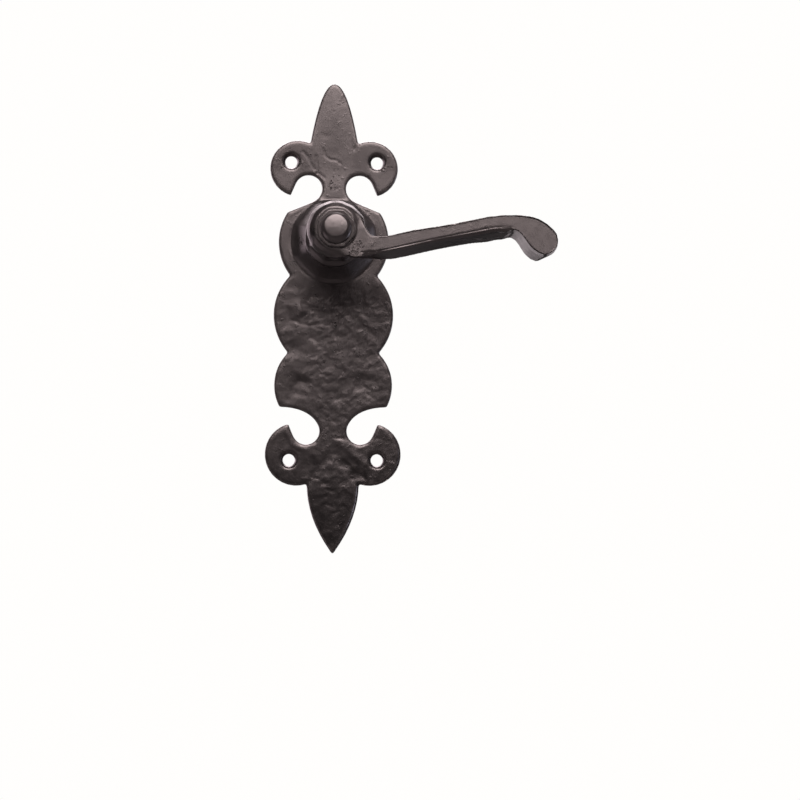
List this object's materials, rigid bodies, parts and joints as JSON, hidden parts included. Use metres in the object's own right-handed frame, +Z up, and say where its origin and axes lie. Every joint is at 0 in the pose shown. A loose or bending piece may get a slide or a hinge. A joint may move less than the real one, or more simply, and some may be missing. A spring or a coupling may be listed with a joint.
{
  "type": "door lever handle",
  "caption": "Black cast iron scroll lever handle on a fleur-de-lys backplate, with a flared rose, a riveted lever head, a sprung turning neck and a square spindle socket behind.",
  "frame": {"origin": "the spindle axis, at the face of the door that the backplate lies on", "axes": "+Z up along the backplate, +X the way that the lever points at rest, +Y into the door along the spindle"},
  "size_m": [0.1256, 0.0516, 0.2101],
  "materials": {
    "black_iron_plate": "hammered casting with satin black lacquer",
    "black_iron_lever": "hand-worked casting with satin black lacquer, rubbed a little at its edges",
    "black_steel": "satin black lacquer over forged steel",
    "bronze": "turned bearing bronze",
    "zinc_steel": "pressed steel, bright zinc",
    "spring_steel": "oiled spring steel"
  },
  "bodies": {
    "backplate": {"backplate": "black_iron_plate", "journal_bush": "bronze", "front_washer": "bronze", "thrust_washer": "bronze", "stop_pin_1": "zinc_steel", "stop_pin_2": "zinc_steel", "spring_anchor_pin": "zinc_steel", "return_spring": "spring_steel", "rear_cover": "zinc_steel", "cover_screw_1": "zinc_steel", "cover_screw_2": "zinc_steel", "cover_screw_3": "zinc_steel"},
    "lever": {"spindle_neck": "black_iron_lever", "lever_arm": "black_iron_lever", "head_washer": "black_steel", "dome_rivet": "black_steel", "drive_plate": "zinc_steel", "wave_washer": "spring_steel", "circlip": "spring_steel", "grub_screw": "black_steel"}
  },
  "joints": [
    {"name": "lever_turn", "type": "hinge", "parent": "backplate", "child": "lever", "pos_m": [0, 0, 0], "axis": [0, 1, 0], "range_deg": [0, 50], "stiffness_Nm_per_rad": 0.6, "springref_deg": -28.65, "deforming": ["return_spring"]}
  ]
}
